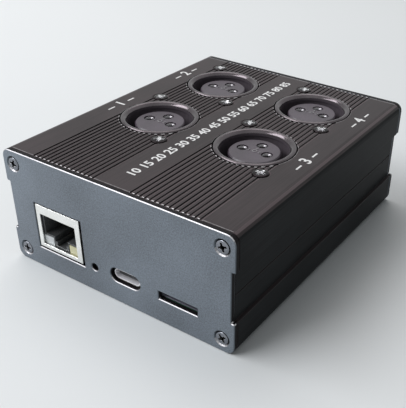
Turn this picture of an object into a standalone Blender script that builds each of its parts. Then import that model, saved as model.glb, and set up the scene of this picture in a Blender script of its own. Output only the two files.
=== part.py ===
"""Art-net node: a split extruded box with four female XLR outlets on top and its ports in the front plate.

Metres, +Z up. X runs along the front, Y runs from the front plate to the rear plate, and the origin is
the middle of the face that the box rests on.
"""

import math

import bmesh
import bpy
from mathutils import Matrix

MM = 0.001

# Clearances
GAP = 0.3 * MM  # between pieces that touch on the real object
PLATE_GAP = 0.2 * MM  # between each end plate and the cut end of the body

# Extruded body, in two like halves
BODY_WIDTH = 76 * MM
BODY_HEIGHT = 35 * MM
BODY_LENGTH = 90 * MM
WALL = 1.7 * MM
EDGE_RADIUS = 2.5 * MM
SIDE_RECESS_DEPTH = 1.1 * MM
SIDE_RECESS_HEIGHT = 15 * MM
TONGUE_LENGTH = 2.2 * MM
TONGUE_THICKNESS = 0.8 * MM
GROOVE_COUNT = 15
GROOVE_PITCH = 1.5 * MM
GROOVE_WIDTH = 0.7 * MM
GROOVE_DEPTH = 0.3 * MM

# Screw channels in the four corners of the body
CHANNEL_INSET_X = 3.75 * MM
CHANNEL_INSET_Z = 4 * MM
CHANNEL_WALL = 1.2 * MM
CHANNEL_MOUTH = 2.2 * MM
CHANNEL_RISE = 1.1 * MM  # from the middle of the channel's bore up to its flanks

# End plates and their screws
PLATE_THICKNESS = 1.5 * MM
PLATE_CHAMFER = 0.2 * MM
PLATE_SCREW_HEAD_RADIUS = 1.85 * MM
PLATE_SCREW_LENGTH = 9 * MM
SHANK_RADIUS = 1.1 * MM
HEAD_RIM = 0.15 * MM
COUNTERSINK_MARGIN = 0.55 * MM  # from a head's rim to the edge of its countersink
CROSS_WIDTH = 0.55 * MM
CROSS_SPAN = 2.4 * MM
CROSS_DEPTH = 0.9 * MM
CROSS_TAPER = 0.5  # share of the cross that is lost from the head's face to its bottom

# Circuit board
BOARD_THICKNESS = 1.5 * MM

# XLR outlets
FLANGE_SIDE_CLEARANCE = 2.2 * MM  # from an outlet's flange to the screw channel beside it
SOCKETS_BACK_SHARE = 0.7  # share of the free length behind the jack that lies before the outlets
SOCKET_SPACING = 32.5 * MM
RIM_RADIUS = 11.55 * MM
RIM_GAP = 0.35 * MM
RIM_RISE = 0.3 * MM
RIM_OUTER_ROUND = 0.5 * MM
RIM_INNER_ROUND = 1 * MM
SOCKET_BORE_RADIUS = 9.7 * MM
SOCKET_DEPTH = 18 * MM
SOCKET_FLOOR = 2 * MM
FLANGE_WIDTH = 25.5 * MM
FLANGE_LENGTH = 30.5 * MM
FLANGE_THICKNESS = 2.2 * MM
FLANGE_CORNER = 2.5 * MM
INSERT_RADIUS = 7.4 * MM
INSERT_DROP = 1.7 * MM  # from the rim down to the insert's face
INSERT_CHAMFER = 0.35 * MM
STEM_RADIUS = 6.4 * MM
STEM_BELOW_FLOOR = 1 * MM
CONTACT_CIRCLE = 4 * MM
CONTACT_ANGLES = (180, 0, 90)  # contacts 1, 2 and 3, in degrees round the insert
CONTACT_RADIUS = 1.4 * MM
CONTACT_BORE_RADIUS = 1.15 * MM
CONTACT_BORE_DEPTH = 11 * MM
CONTACT_SLEEVE_LENGTH = 14 * MM
CONTACT_DROP = 0.3 * MM  # from the insert's face down to a contact
TAIL_RADIUS = 0.5 * MM
TAIL_BELOW_BOARD = 0.8 * MM
SOCKET_SCREW_X = 9.5 * MM
SOCKET_SCREW_Y = 12 * MM
SOCKET_SCREW_HEAD_RADIUS = 2.2 * MM
SOCKET_SCREW_LENGTH = 6.5 * MM
SOCKET_SCREW_PROUD = 0.1 * MM

# Network jack
JACK_X = -20 * MM
JACK_FROM_FRONT = 0.1 * MM
JACK_WIDTH = 16.2 * MM
JACK_HEIGHT = 13.6 * MM
JACK_DEPTH = 20.7 * MM
JACK_SHEET = 0.4 * MM
JACK_LEFT_BAND = 1.4 * MM
JACK_RIGHT_BAND = 1.8 * MM
JACK_LOWER_BAND = 1.1 * MM
JACK_UPPER_BAND = 2.8 * MM
JACK_LEFT_CLEARANCE = 0.3 * MM
JACK_RIGHT_CLEARANCE = 0.8 * MM
JACK_LOWER_CLEARANCE = 0.6 * MM
JACK_UPPER_CLEARANCE = 0.3 * MM
PLUG_WIDTH = 11.8 * MM
PLUG_HEIGHT = 6.4 * MM
PLUG_DEPTH = 12 * MM
LATCH_WIDTHS = (5 * MM, 3.4 * MM)
LATCH_DROPS = (1.5 * MM, 2.8 * MM)
LENS_WIDTH = 3.2 * MM
LENS_HEIGHT = 3 * MM
LENS_DEPTH = 5 * MM
WIRE_COUNT = 8
WIRE_PITCH = 1.02 * MM
WIRE_WIDTH = 0.5 * MM
WIRE_THICKNESS = 0.35 * MM
WIRE_REACH = 8 * MM
WIRE_DROP = 1.3 * MM
CARRIER_DEPTH = 1.2 * MM
CARRIER_HEIGHT = 0.7 * MM
CARRIER_FROM_OPENING = 1.6 * MM

# USB-C inlet
USB_X = 3.4 * MM
USB_FROM_FRONT = 1 * MM
USB_WIDTH = 8.94 * MM
USB_HEIGHT = 3.16 * MM
USB_DEPTH = 7.3 * MM
USB_SHEET = 0.3 * MM
USB_CUTOUT_CLEARANCE = 0.65 * MM
TONGUE_WIDTH = 6.6 * MM
USB_TONGUE_THICKNESS = 0.7 * MM
USB_TONGUE_LENGTH = 4.6 * MM
USB_BLOCK_DEPTH = 2 * MM

# Card socket
CARD_X = 20.75 * MM
CARD_FROM_FRONT = 1.8 * MM
CARD_WIDTH = 14 * MM
CARD_DEPTH = 15 * MM
CARD_BASE_HEIGHT = 1.25 * MM
CARD_FLOOR = 0.3 * MM
CARD_SLOT_WIDTH = 11.4 * MM
CARD_SLOT_HEIGHT = 0.75 * MM  # from the tray's floor up to the cover's front lip
CARD_SLOT_DEPTH = 13 * MM
CARD_COVER_THICKNESS = 0.3 * MM
CARD_CUTOUT_WIDTH = 12.3 * MM
CARD_CUTOUT_HEIGHT = 2.5 * MM
CARD_CUTOUT_RISE = 0.5 * MM

# Reset switch
RESET_X = -7.35 * MM
SWITCH_FROM_FRONT = 3.2 * MM
SWITCH_WIDTH = 4.5 * MM
SWITCH_HEIGHT = 1.8 * MM
SWITCH_DEPTH = 3.4 * MM
PLUNGER_WIDTH = 1.3 * MM
PLUNGER_HEIGHT = 0.7 * MM
PLUNGER_LENGTH = 2.4 * MM
PLUNGER_REACH = 0.9 * MM  # in front of the switch
PLUNGER_TRAVEL = 0.25 * MM
PINHOLE_RADIUS = 1.15 * MM

# Chips near the front: name, middle x, distance from the front, width, length, height
FLAT_CHIPS = (
    ("controller_chip", 1.5 * MM, 19 * MM, 9 * MM, 9 * MM, 1 * MM),
    ("network_chip", -7 * MM, 14 * MM, 6 * MM, 6 * MM, 0.9 * MM),
)
REGULATOR_X = 10.5 * MM
REGULATOR_FROM_FRONT = 13.5 * MM
# Leaded chips: width, length, height, pitch of the leads
REGULATOR_SIZES = (3.6 * MM, 6.4 * MM, 1.6 * MM, 2.3 * MM)
DRIVER_SIZES = (3.9 * MM, 4.9 * MM, 1.4 * MM, 1.27 * MM)
DRIVER_OFFSET = 5 * MM  # from the middle line of two outlets, one behind the other, to a line driver
CHIP_CHAMFER = 0.15 * MM
LEAD_REACH = 0.8 * MM
LEAD_WIDTH = 0.42 * MM
LEAD_THICKNESS = 0.2 * MM
CHIP_STANDOFF = 0.2 * MM

# Curve resolution
ARC_STEPS = 5
CHANNEL_STEPS = 8
RING_SEGMENTS = 32
SCREW_SEGMENTS = 16
CONTACT_SEGMENTS = 10
SMOOTH_ANGLE = math.radians(40)

# Places that follow from the sizes above
MIDDLE_Z = BODY_HEIGHT / 2
FRONT_Y = -(BODY_LENGTH / 2 + PLATE_GAP + PLATE_THICKNESS)
CHANNEL_TOP = CHANNEL_INSET_Z + CHANNEL_RISE
BOARD_BOTTOM = CHANNEL_TOP + GAP
BOARD_TOP = BOARD_BOTTOM + BOARD_THICKNESS
SEAT_Z = BOARD_TOP + GAP
CHANNEL_RADIUS = SHANK_RADIUS + GAP
TOP_INSIDE_Z = BODY_HEIGHT - WALL
RIM_TOP_Z = BODY_HEIGHT + RIM_RISE
FLOOR_TOP_Z = RIM_TOP_Z - SOCKET_DEPTH
RESET_Z = SEAT_Z + SWITCH_HEIGHT / 2
USB_Z = SEAT_Z + USB_HEIGHT / 2
CHANNEL_X = BODY_WIDTH / 2 - CHANNEL_INSET_X
CHANNEL_FLANK_X = CHANNEL_X - CHANNEL_RADIUS - CHANNEL_WALL
JACK_BACK_Y = FRONT_Y + JACK_FROM_FRONT + JACK_DEPTH
REAR_PLATE_INNER_Y = BODY_LENGTH / 2 + PLATE_GAP
SOCKETS_LENGTH = RIM_RADIUS + SOCKET_SPACING + FLANGE_LENGTH / 2
FREE_LENGTH = REAR_PLATE_INNER_Y - JACK_BACK_Y - 2 * GAP - SOCKETS_LENGTH
FIRST_SOCKET_Y = JACK_BACK_Y + GAP + SOCKETS_BACK_SHARE * FREE_LENGTH + RIM_RADIUS
SOCKET_X = CHANNEL_FLANK_X - FLANGE_SIDE_CLEARANCE - FLANGE_WIDTH / 2
SOCKET_PLACES = tuple(
    (side * SOCKET_X, FIRST_SOCKET_Y + row * SOCKET_SPACING) for side in (-1, 1) for row in (0, 1)
)
DRIVER_PLACES = tuple(
    (side * SOCKET_X + turn * DRIVER_OFFSET, FIRST_SOCKET_Y + SOCKET_SPACING / 2)
    for side in (-1, 1)
    for turn in (-1, 1)
)
SOCKET_SCREW_OFFSETS = (
    ("rear", -SOCKET_SCREW_X, SOCKET_SCREW_Y),
    ("front", SOCKET_SCREW_X, -SOCKET_SCREW_Y),
)
PLATE_SCREW_PLACES = tuple(
    (f"{height}_{side}", sign * CHANNEL_X, z)
    for height, z in (("upper", BODY_HEIGHT - CHANNEL_INSET_Z), ("lower", CHANNEL_INSET_Z))
    for side, sign in (("left", -1), ("right", 1))
)


def from_front(distance):
    """The y of a plane this far behind the front plate's outer face."""
    return FRONT_Y + distance


# Shapes


def as_mesh(bm):
    bmesh.ops.recalc_face_normals(bm, faces=bm.faces)
    mesh = bpy.data.meshes.new("shape")
    bm.to_mesh(mesh)
    bm.free()
    return mesh


def lofted(loops):
    """A closed solid through loops of as many points each, capped at both ends."""
    bm = bmesh.new()
    rings = [[bm.verts.new(point) for point in loop] for loop in loops]
    bm.faces.new(rings[0])
    bm.faces.new(rings[-1])
    count = len(rings[0])
    for near, far in zip(rings, rings[1:]):
        for i in range(count):
            j = (i + 1) % count
            bm.faces.new((near[i], near[j], far[j], far[i]))
    return as_mesh(bm)


def along_y(outline, y):
    return [(x, y, z) for x, z in outline]


def along_z(outline, z):
    return [(x, y, z) for x, y in outline]


def prism_y(outline, start, end):
    return lofted((along_y(outline, start), along_y(outline, end)))


def prism_z(outline, start, end):
    return lofted((along_z(outline, start), along_z(outline, end)))


def rectangle(width, height, middle_x=0.0, middle_y=0.0):
    """Corner points, counterclockwise from the lower left."""
    left, right = middle_x - width / 2, middle_x + width / 2
    low, high = middle_y - height / 2, middle_y + height / 2
    return [(left, low), (right, low), (right, high), (left, high)]


def arc(middle_x, middle_y, radius, start, end, steps):
    """Points on an arc from one angle to the other, in degrees, both ends included."""
    angles = (math.radians(start + (end - start) * i / steps) for i in range(steps + 1))
    return [(middle_x + radius * math.cos(a), middle_y + radius * math.sin(a)) for a in angles]


def rounded_rectangle(width, height, radius, steps):
    inner = rectangle(width - 2 * radius, height - 2 * radius)
    starts = (180, 270, 0, 90)
    return [
        point
        for (x, y), start in zip(inner, starts)
        for point in arc(x, y, radius, start, start + 90, steps)
    ]


def obround(width, height, middle_x=0.0, middle_y=0.0):
    """A slot with round ends, or a circle where the width and the height are the same."""
    radius = height / 2
    reach = width / 2 - radius
    steps = 2 * ARC_STEPS
    right = arc(middle_x + reach, middle_y, radius, -90, 90, steps)
    left = arc(middle_x - reach, middle_y, radius, 90, 270, steps)
    return right + left if reach > 0 else right + left[1:-1]


def box(low, high):
    (x0, y0, z0), (x1, y1, z1) = low, high
    return prism_z([(x0, y0), (x1, y0), (x1, y1), (x0, y1)], z0, z1)


def turned(profile, segments):
    """A solid turned about Z from (radius, z) points: a ring, or solid where both ends lie on the axis."""
    bm = bmesh.new()
    rings = []
    for radius, z in profile:
        if radius == 0:
            rings.append([bm.verts.new((0, 0, z))] * segments)
            continue
        turns = (2 * math.pi * i / segments for i in range(segments))
        rings.append([bm.verts.new((radius * math.cos(a), radius * math.sin(a), z)) for a in turns])
    for near, far in zip(rings, rings[1:] + rings[:1]):
        for i in range(segments):
            j = (i + 1) % segments
            corners = tuple(dict.fromkeys((near[i], near[j], far[j], far[i])))
            if len(corners) > 2:
                bm.faces.new(corners)
    return as_mesh(bm)


def cylinder(radius, start, end, segments):
    return turned([(0, start), (radius, start), (radius, end), (0, end)], segments)


def moved(mesh, x=0.0, y=0.0, z=0.0):
    copy = mesh.copy()
    copy.transform(Matrix.Translation((x, y, z)))
    return copy


def combined(base, joins=(), cuts=()):
    """The base with other shapes joined to it and then cut from it."""
    target = bpy.data.objects.new("target", base)
    bpy.context.scene.collection.objects.link(target)
    helpers = [target]
    for operation, shapes in (("UNION", joins), ("DIFFERENCE", cuts)):
        for shape in shapes:
            helper = bpy.data.objects.new("helper", shape)
            bpy.context.scene.collection.objects.link(helper)
            helpers.append(helper)
            modifier = target.modifiers.new(operation.lower(), "BOOLEAN")
            modifier.operation = operation
            modifier.solver = "EXACT"
            modifier.object = helper
    bpy.context.view_layer.update()
    evaluated = target.evaluated_get(bpy.context.evaluated_depsgraph_get())
    result = bpy.data.meshes.new_from_object(evaluated)
    for helper in helpers:
        bpy.data.objects.remove(helper)
    return result


def countersink(head_radius, depth, above):
    """The cutter for a countersunk hole whose rim lies at z = 0, with its cone running on above."""
    rim = head_radius + COUNTERSINK_MARGIN
    hole = SHANK_RADIUS + GAP
    profile = [(0, -depth), (hole, -depth), (hole, hole - rim), (rim + above, above), (0, above)]
    return turned(profile, SCREW_SEGMENTS)


# Objects


def finish(name, colour, roughness, metallic=0.0):
    """A plain Principled material, made once for each name."""
    material = bpy.data.materials.get(name)
    if material is None:
        material = bpy.data.materials.new(name)
        material.use_nodes = True
        shader = material.node_tree.nodes["Principled BSDF"]
        shader.inputs["Base Color"].default_value = (*colour, 1)
        shader.inputs["Roughness"].default_value = roughness
        shader.inputs["Metallic"].default_value = metallic
    return material


def add(name, mesh, material, location=(0, 0, 0), rotation=(0, 0, 0), parent=None):
    if not mesh.materials:
        mesh.materials.append(material)
        mesh.shade_smooth()
        mesh.set_sharp_from_angle(angle=SMOOTH_ANGLE)
    piece = bpy.data.objects.new(name, mesh)
    piece.location = location
    piece.rotation_euler = rotation
    piece.parent = parent
    bpy.context.scene.collection.objects.link(piece)
    return piece


def black_anodised():
    return finish("black_anodised", (0.03, 0.03, 0.035), 0.4, 0.8)


def black_plastic():
    return finish("black_plastic", (0.035, 0.034, 0.036), 0.45)


def bright_steel():
    return finish("bright_steel", (0.75, 0.76, 0.78), 0.3, 1.0)


# Extruded body


def grooved_edge():
    """The underside of a half from left to right, with its grooves."""
    points = []
    for middle in (-SOCKET_X, SOCKET_X):
        for i in range(GROOVE_COUNT):
            x = middle + (i - (GROOVE_COUNT - 1) / 2) * GROOVE_PITCH
            left, right = x - GROOVE_WIDTH / 2, x + GROOVE_WIDTH / 2
            points += [(left, 0), (left, GROOVE_DEPTH), (right, GROOVE_DEPTH), (right, 0)]
    return points


def channel_edge():
    """The inside of the right corner, from the side wall over the screw channel to the floor."""
    inner_x = BODY_WIDTH / 2 - WALL
    half_mouth = CHANNEL_MOUTH / 2
    start = math.degrees(math.acos(half_mouth / CHANNEL_RADIUS))
    bore = arc(CHANNEL_X, CHANNEL_INSET_Z, CHANNEL_RADIUS, start, start - 180 - 2 * start, CHANNEL_STEPS)
    return [
        (inner_x, CHANNEL_TOP),
        (CHANNEL_X + half_mouth, CHANNEL_TOP),
        *bore,
        (CHANNEL_X - half_mouth, CHANNEL_TOP),
        (CHANNEL_FLANK_X, CHANNEL_TOP),
        (CHANNEL_FLANK_X, WALL),
    ]


def half_outline():
    """The section of one half: its tongue stands on the right side, and the left side takes the other's."""
    half_width = BODY_WIDTH / 2
    recess_x = half_width - SIDE_RECESS_DEPTH
    recess_z = MIDDLE_Z - SIDE_RECESS_HEIGHT / 2
    inner_x = recess_x - WALL
    tongue_x = inner_x + TONGUE_THICKNESS
    lip_z = MIDDLE_Z - GAP / 2
    corner = arc(half_width - EDGE_RADIUS, EDGE_RADIUS, EDGE_RADIUS, -90, 0, ARC_STEPS)
    outer = [*corner, (half_width, recess_z), (recess_x, recess_z), (recess_x, lip_z)]
    ledge = [(inner_x, SEAT_Z), (half_width - WALL, SEAT_Z)]
    tongue = [(tongue_x, lip_z), (tongue_x, MIDDLE_Z + TONGUE_LENGTH), (inner_x, MIDDLE_Z + TONGUE_LENGTH)]
    rebate_z = MIDDLE_Z - TONGUE_LENGTH - GAP
    rebate = [(inner_x, rebate_z), (tongue_x + GAP, rebate_z), (tongue_x + GAP, lip_z)]
    right = outer + tongue + ledge + channel_edge()
    left = outer + rebate[::-1] + ledge + channel_edge()
    return grooved_edge() + right + [(-x, z) for x, z in reversed(left)]


def half_shell():
    return prism_y(half_outline(), -BODY_LENGTH / 2, BODY_LENGTH / 2)


def top_shell():
    upside_down = half_shell()
    upside_down.transform(Matrix.Translation((0, 0, BODY_HEIGHT)) @ Matrix.Rotation(math.pi, 4, "Y"))
    hole = cylinder(RIM_RADIUS + RIM_GAP, TOP_INSIDE_Z - WALL / 2, BODY_HEIGHT + WALL, RING_SEGMENTS)
    sink = moved(countersink(SOCKET_SCREW_HEAD_RADIUS, 2 * WALL, WALL), z=BODY_HEIGHT)
    cuts = []
    for x, y in SOCKET_PLACES:
        cuts.append(moved(hole, x, y))
        for _, dx, dy in SOCKET_SCREW_OFFSETS:
            cuts.append(moved(sink, x + dx, y + dy))
    add("top_shell", combined(upside_down, cuts=cuts), black_anodised())


def bottom_shell():
    add("bottom_shell", half_shell(), black_anodised())


# End plates


def plate_outline(inset):
    half_width = BODY_WIDTH / 2 - inset
    recess_x = half_width - SIDE_RECESS_DEPTH
    radius = EDGE_RADIUS - inset
    reach = SIDE_RECESS_HEIGHT / 2 + inset
    right = [
        *arc(half_width - radius, EDGE_RADIUS, radius, -90, 0, ARC_STEPS),
        (half_width, MIDDLE_Z - reach),
        (recess_x, MIDDLE_Z - reach),
        (recess_x, MIDDLE_Z + reach),
        (half_width, MIDDLE_Z + reach),
        *arc(half_width - radius, BODY_HEIGHT - EDGE_RADIUS, radius, 0, 90, ARC_STEPS),
    ]
    return right + [(-x, z) for x, z in reversed(right)]


def plate_blank():
    """An end plate at y = 0, its chamfered outer face towards -Y, with its four screw holes."""
    outline = plate_outline(0)
    blank = lofted(
        (
            along_y(plate_outline(PLATE_CHAMFER), 0),
            along_y(outline, PLATE_CHAMFER),
            along_y(outline, PLATE_THICKNESS),
        )
    )
    sink = countersink(PLATE_SCREW_HEAD_RADIUS, 2 * PLATE_THICKNESS, PLATE_THICKNESS)
    sink.transform(Matrix.Rotation(math.pi / 2, 4, "X"))
    return combined(blank, cuts=[moved(sink, x, 0, z) for _, x, z in PLATE_SCREW_PLACES])


def jack_cutout():
    left = JACK_X - JACK_WIDTH / 2 - JACK_LEFT_CLEARANCE
    right = JACK_X + JACK_WIDTH / 2 + JACK_RIGHT_CLEARANCE
    low = SEAT_Z - JACK_LOWER_CLEARANCE
    high = SEAT_Z + JACK_HEIGHT + JACK_UPPER_CLEARANCE
    return box((left, -PLATE_THICKNESS, low), (right, 2 * PLATE_THICKNESS, high))


def front_plate():
    reach = (-PLATE_THICKNESS, 2 * PLATE_THICKNESS)
    pinhole = obround(2 * PINHOLE_RADIUS, 2 * PINHOLE_RADIUS, RESET_X, RESET_Z)
    usb_width = USB_WIDTH + 2 * USB_CUTOUT_CLEARANCE
    usb_height = USB_HEIGHT + 2 * USB_CUTOUT_CLEARANCE
    card_z = BOARD_TOP + CARD_CUTOUT_RISE + CARD_CUTOUT_HEIGHT / 2
    cuts = [
        jack_cutout(),
        prism_y(pinhole, *reach),
        prism_y(obround(usb_width, usb_height, USB_X, USB_Z), *reach),
        prism_y(rectangle(CARD_CUTOUT_WIDTH, CARD_CUTOUT_HEIGHT, CARD_X, card_z), *reach),
    ]
    add("front_plate", combined(plate_blank(), cuts=cuts), black_anodised(), (0, FRONT_Y, 0))


def rear_plate():
    add("rear_plate", plate_blank(), black_anodised(), (0, -FRONT_Y, 0), (0, 0, math.pi))


# Screws


def cross_cutter():
    """A cross-shaped driver recess that narrows towards its bottom."""
    half, arm = CROSS_WIDTH / 2, CROSS_SPAN / 2
    quarter = [(arm, -half), (arm, half), (half, half)]
    cross = [
        (x * math.cos(turn) - y * math.sin(turn), x * math.sin(turn) + y * math.cos(turn))
        for turn in (math.pi / 2 * i for i in range(4))
        for x, y in quarter
    ]
    ends = ((1 - CROSS_TAPER, -CROSS_DEPTH), (1 + CROSS_TAPER, CROSS_DEPTH))
    return lofted([along_z([(x * size, y * size) for x, y in cross], z) for size, z in ends])


def screw(head_radius, length):
    """A countersunk cross-head screw with its head's face at z = 0 and its shank down -Z."""
    profile = [
        (0, 0),
        (head_radius, 0),
        (head_radius, -HEAD_RIM),
        (SHANK_RADIUS, SHANK_RADIUS - head_radius - HEAD_RIM),
        (SHANK_RADIUS, -length),
        (0, -length),
    ]
    return combined(turned(profile, SCREW_SEGMENTS), cuts=[cross_cutter()])


def plate_screws():
    shape = screw(PLATE_SCREW_HEAD_RADIUS, PLATE_SCREW_LENGTH)
    dark_nickel = finish("dark_nickel", (0.26, 0.27, 0.3), 0.25, 0.9)
    for end, y, tilt in (("front", FRONT_Y, math.pi / 2), ("rear", -FRONT_Y, -math.pi / 2)):
        for place, x, z in PLATE_SCREW_PLACES:
            add(f"{end}_plate_screw_{place}", shape, dark_nickel, (x, y, z), (tilt, 0, 0))


def socket_screws():
    shape = screw(SOCKET_SCREW_HEAD_RADIUS, SOCKET_SCREW_LENGTH)
    blackened = finish("blackened_steel", (0.08, 0.08, 0.085), 0.35, 0.9)
    z = BODY_HEIGHT + SOCKET_SCREW_PROUD
    for number, (x, y) in enumerate(SOCKET_PLACES, 1):
        for place, dx, dy in SOCKET_SCREW_OFFSETS:
            add(f"socket_{number}_screw_{place}", shape, blackened, (x + dx, y + dy, z))


# XLR outlets


def socket_housing():
    """The turned barrel with its rim and floor, the flange behind the top, and two screw holes."""
    outer_arc = arc(RIM_RADIUS - RIM_OUTER_ROUND, RIM_TOP_Z - RIM_OUTER_ROUND, RIM_OUTER_ROUND, 0, 90, 2)
    inner_x = SOCKET_BORE_RADIUS + RIM_INNER_ROUND
    inner_arc = arc(inner_x, RIM_TOP_Z - RIM_INNER_ROUND, RIM_INNER_ROUND, 90, 180, 3)
    stem_hole = STEM_RADIUS + GAP
    barrel = turned(
        [
            (RIM_RADIUS, SEAT_Z),
            *outer_arc,
            *inner_arc,
            (SOCKET_BORE_RADIUS, FLOOR_TOP_Z),
            (stem_hole, FLOOR_TOP_Z),
            (stem_hole, FLOOR_TOP_Z - SOCKET_FLOOR),
            (SOCKET_BORE_RADIUS, FLOOR_TOP_Z - SOCKET_FLOOR),
            (SOCKET_BORE_RADIUS, SEAT_Z),
        ],
        RING_SEGMENTS,
    )
    flange_top = TOP_INSIDE_Z - GAP
    flange_bottom = flange_top - FLANGE_THICKNESS
    flange_hole = (RIM_RADIUS + SOCKET_BORE_RADIUS) / 2
    flange_outline = rounded_rectangle(FLANGE_WIDTH, FLANGE_LENGTH, FLANGE_CORNER, 2)
    flange = combined(
        prism_z(flange_outline, flange_bottom, flange_top),
        cuts=[cylinder(flange_hole, flange_bottom - GAP, flange_top + GAP, RING_SEGMENTS)],
    )
    pilot = cylinder(SHANK_RADIUS + GAP, flange_bottom - GAP, flange_top + GAP, SCREW_SEGMENTS)
    pilots = [moved(pilot, dx, dy) for _, dx, dy in SOCKET_SCREW_OFFSETS]
    return combined(barrel, joins=[flange], cuts=pilots)


def contact_offsets():
    turns = (math.radians(angle) for angle in CONTACT_ANGLES)
    return [(CONTACT_CIRCLE * math.cos(a), CONTACT_CIRCLE * math.sin(a)) for a in turns]


def socket_insert():
    face = RIM_TOP_Z - INSERT_DROP
    foot = FLOOR_TOP_Z - SOCKET_FLOOR - STEM_BELOW_FLOOR
    body = turned(
        [
            (0, face),
            (INSERT_RADIUS - INSERT_CHAMFER, face),
            (INSERT_RADIUS, face - INSERT_CHAMFER),
            (INSERT_RADIUS, FLOOR_TOP_Z + GAP),
            (STEM_RADIUS, FLOOR_TOP_Z + GAP),
            (STEM_RADIUS, foot),
            (0, foot),
        ],
        RING_SEGMENTS,
    )
    hole = cylinder(CONTACT_RADIUS + GAP, foot - GAP, face + GAP, CONTACT_SEGMENTS)
    return combined(body, cuts=[moved(hole, dx, dy) for dx, dy in contact_offsets()])


def socket_contact():
    top = RIM_TOP_Z - INSERT_DROP - CONTACT_DROP
    shoulder = top - CONTACT_SLEEVE_LENGTH
    profile = [
        (0, top - CONTACT_BORE_DEPTH),
        (CONTACT_BORE_RADIUS, top - CONTACT_BORE_DEPTH),
        (CONTACT_BORE_RADIUS, top),
        (CONTACT_RADIUS, top),
        (CONTACT_RADIUS, shoulder),
        (TAIL_RADIUS, shoulder),
        (TAIL_RADIUS, BOARD_BOTTOM - TAIL_BELOW_BOARD),
        (0, BOARD_BOTTOM - TAIL_BELOW_BOARD),
    ]
    return turned(profile, CONTACT_SEGMENTS)


def sockets():
    housing, insert, contact = socket_housing(), socket_insert(), socket_contact()
    silvered = finish("silvered_brass", (0.85, 0.84, 0.8), 0.25, 1.0)
    for number, (x, y) in enumerate(SOCKET_PLACES, 1):
        add(f"socket_{number}_housing", housing, black_plastic(), (x, y, 0))
        add(f"socket_{number}_insert", insert, black_plastic(), (x, y, 0))
        for pole, (dx, dy) in enumerate(contact_offsets(), 1):
            add(f"socket_{number}_contact_{pole}", contact, silvered, (x + dx, y + dy, 0))


# Circuit board


def main_board():
    half_width = BODY_WIDTH / 2 - WALL - GAP
    half_length = REAR_PLATE_INNER_Y - GAP
    blank = box((-half_width, -half_length, BOARD_BOTTOM), (half_width, half_length, BOARD_TOP))
    hole = cylinder(TAIL_RADIUS + GAP, BOARD_BOTTOM - GAP, BOARD_TOP + GAP, CONTACT_SEGMENTS)
    cuts = [moved(hole, x + dx, y + dy) for x, y in SOCKET_PLACES for dx, dy in contact_offsets()]
    add("main_board", combined(blank, cuts=cuts), finish("board_green", (0.02, 0.12, 0.06), 0.5))


def flat_chip(width, length, height):
    """A leadless chip with a chamfered top."""
    top = SEAT_Z + height
    inner = rectangle(width - 2 * CHIP_CHAMFER, length - 2 * CHIP_CHAMFER)
    outer = rectangle(width, length)
    return lofted((along_z(outer, SEAT_Z), along_z(outer, top - CHIP_CHAMFER), along_z(inner, top)))


def leaded_chip(width, length, height, pitch):
    """A chip with as many bent leads on each long side as its length and their pitch allow."""
    bottom, top = SEAT_Z + CHIP_STANDOFF, SEAT_Z + height
    middle = (bottom + top) / 2
    waist = rectangle(width, length)
    ends = rectangle(width - 2 * CHIP_CHAMFER, length - 2 * CHIP_CHAMFER)
    body = lofted((along_z(ends, bottom), along_z(waist, middle), along_z(ends, top)))
    half = LEAD_THICKNESS / 2
    root, toe = width / 2 - 2 * CHIP_CHAMFER, width / 2 + LEAD_REACH
    knee = toe - LEAD_THICKNESS
    lead = [
        (root, middle - half),
        (knee, middle - half),
        (knee, SEAT_Z),
        (toe, SEAT_Z),
        (toe, middle + half),
        (root, middle + half),
    ]
    joins = []
    leads = int((length - LEAD_WIDTH) / pitch) + 1
    for i in range(leads):
        y = (i - (leads - 1) / 2) * pitch
        for side in (-1, 1):
            outline = [(side * x, z) for x, z in lead]
            joins.append(prism_y(outline, y - LEAD_WIDTH / 2, y + LEAD_WIDTH / 2))
    return combined(body, joins=joins)


def chips():
    dark = finish("chip_black", (0.02, 0.02, 0.022), 0.5)
    for name, x, distance, *sizes in FLAT_CHIPS:
        add(name, flat_chip(*sizes), dark, (x, from_front(distance), 0))
    place = (REGULATOR_X, from_front(REGULATOR_FROM_FRONT), 0)
    add("power_regulator", leaded_chip(*REGULATOR_SIZES), dark, place)
    driver = leaded_chip(*DRIVER_SIZES)
    for number, (x, y) in enumerate(DRIVER_PLACES, 1):
        add(f"line_driver_{number}", driver, dark, (x, y, 0))


# Network jack

JACK_LEFT = JACK_X - JACK_WIDTH / 2
JACK_RIGHT = JACK_X + JACK_WIDTH / 2
JACK_TOP = SEAT_Z + JACK_HEIGHT
OPENING_LEFT = JACK_LEFT + JACK_LEFT_BAND
OPENING_RIGHT = JACK_RIGHT - JACK_RIGHT_BAND
OPENING_LOW = SEAT_Z + JACK_LOWER_BAND
OPENING_HIGH = JACK_TOP - JACK_UPPER_BAND
OPENING_X = (OPENING_LEFT + OPENING_RIGHT) / 2
JACK_INSIDE_Y = from_front(JACK_FROM_FRONT + JACK_SHEET)
JACK_LINING = JACK_SHEET + GAP  # from the shield's outside to what it holds
LENS_TOP = SEAT_Z + JACK_LINING + LENS_HEIGHT
PLUG_FLOOR = OPENING_HIGH - PLUG_HEIGHT
CARRIER_Y = JACK_INSIDE_Y + GAP + CARRIER_FROM_OPENING


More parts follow.
